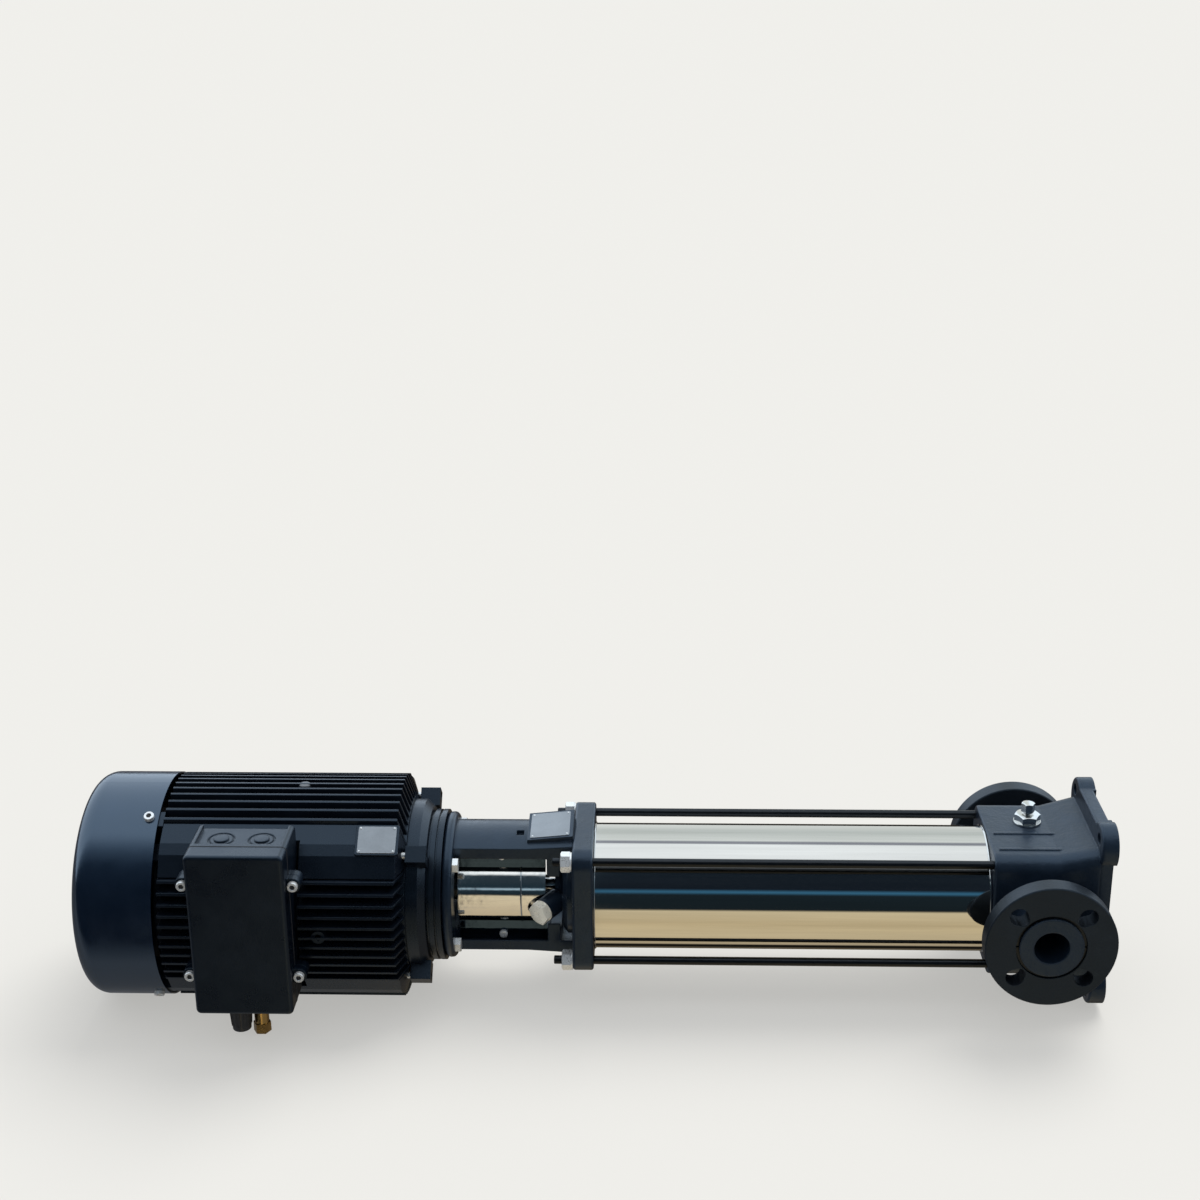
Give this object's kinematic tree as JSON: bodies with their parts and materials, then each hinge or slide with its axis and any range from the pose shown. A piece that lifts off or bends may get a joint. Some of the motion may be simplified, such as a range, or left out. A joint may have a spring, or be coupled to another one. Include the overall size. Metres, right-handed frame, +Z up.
{
  "type": "vertical multistage pump",
  "caption": "Upright in-line multistage pump: cast foot with loose pipe flanges, polished sleeve held by staybolts, open stool with guarded coupling, and a finned motor with a terminal box.",
  "frame": {"origin": "centre of the base plate's underside, on the shaft axis", "axes": "+Z up the shaft from the base plate to the fan cover; -Y out of the front pipe port, on the terminal box's side; +X towards the drain plug"},
  "size_m": [0.2668, 0.31, 1.202],
  "materials": {
    "black_casting": "black paint over a sand casting",
    "flange_iron": "black paint over ductile iron",
    "ring_steel": "plain spring steel",
    "bright_steel": "bright plated steel",
    "mirror_stainless": "mirror-polished stainless steel",
    "black_rod": "blackened steel",
    "stage_stainless": "pressed stainless steel",
    "shaft_steel": "ground steel",
    "coupling_iron": "machined iron",
    "seal_rubber": "black rubber",
    "seal_carbon": "dark carbon",
    "motor_paint": "black paint over die-cast aluminium",
    "core_steel": "stacked steel sheets",
    "winding_copper": "varnished copper wire",
    "fan_plastic": "black plastic",
    "cover_paint": "satin dark paint over sheet steel",
    "box_paint": "black paint over die-cast aluminium",
    "gland_plastic": "black plastic",
    "brass": "turned brass"
  },
  "bodies": {
    "pump": {"base_casting": "black_casting", "motor_stool": "black_casting", "pump_head_cover": "black_casting", "flange_retaining_rings": "ring_steel", "drain_plug": "bright_steel", "priming_plug": "bright_steel", "staybolt_nuts": "bright_steel", "staybolt_washers": "bright_steel", "housing_screws": "bright_steel", "guard_screws": "bright_steel", "outer_sleeve": "mirror_stainless", "coupling_guard_front": "mirror_stainless", "coupling_guard_rear": "mirror_stainless", "staybolts": "black_rod", "motor_bolts": "black_rod", "inlet_guide": "stage_stainless", "discharge_guide": "stage_stainless", "stage_chamber_1": "stage_stainless", "stage_chamber_2": "stage_stainless", "stage_chamber_3": "stage_stainless", "stage_chamber_4": "stage_stainless", "stage_chamber_5": "stage_stainless", "stage_chamber_6": "stage_stainless", "stage_chamber_7": "stage_stainless", "stage_chamber_8": "stage_stainless", "stage_chamber_9": "stage_stainless", "bearing_outer_rings": "shaft_steel", "sleeve_seals": "seal_rubber", "shaft_seal_seat": "seal_carbon", "motor_frame": "motor_paint", "drive_end_shield": "motor_paint", "non_drive_end_shield": "motor_paint", "stator_core": "core_steel", "stator_windings": "winding_copper", "fan_cover": "cover_paint", "terminal_box_base": "box_paint", "terminal_box_lid": "box_paint", "cable_gland": "gland_plastic", "brass_plug": "brass"},
    "rotor": {"pump_shaft": "shaft_steel", "shaft_seal_ring": "seal_carbon", "coupling_half_left": "coupling_iron", "coupling_half_right": "coupling_iron", "coupling_screws": "shaft_steel", "motor_shaft": "shaft_steel", "rotor_core": "core_steel", "bearing_inner_rings": "shaft_steel", "cooling_fan": "fan_plastic", "impeller_1": "stage_stainless", "impeller_2": "stage_stainless", "impeller_3": "stage_stainless", "impeller_4": "stage_stainless", "impeller_5": "stage_stainless", "impeller_6": "stage_stainless", "impeller_7": "stage_stainless", "impeller_8": "stage_stainless", "impeller_9": "stage_stainless"},
    "front_pipe_flange": {"front_flange": "flange_iron"},
    "rear_pipe_flange": {"rear_flange": "flange_iron"},
    "bypass_valve": {"bypass_spindle": "bright_steel"}
  },
  "joints": [
    {"name": "rotor_spin", "type": "hinge", "parent": "pump", "child": "rotor", "pos_m": [0, 0, 0.7], "axis": [0, 0, 1], "continuous": true},
    {"name": "front_flange_turn", "type": "hinge", "parent": "pump", "child": "front_pipe_flange", "pos_m": [0, -0.127, 0.08], "axis": [0, -1, 0], "continuous": true},
    {"name": "rear_flange_turn", "type": "hinge", "parent": "pump", "child": "rear_pipe_flange", "pos_m": [0, 0.127, 0.08], "axis": [0, 1, 0], "continuous": true},
    {"name": "bypass_turn", "type": "hinge", "parent": "pump", "child": "bypass_valve", "pos_m": [0.09, 0.02, 0.084], "axis": [1, 0, 0], "range_deg": [0, 180]}
  ]
}
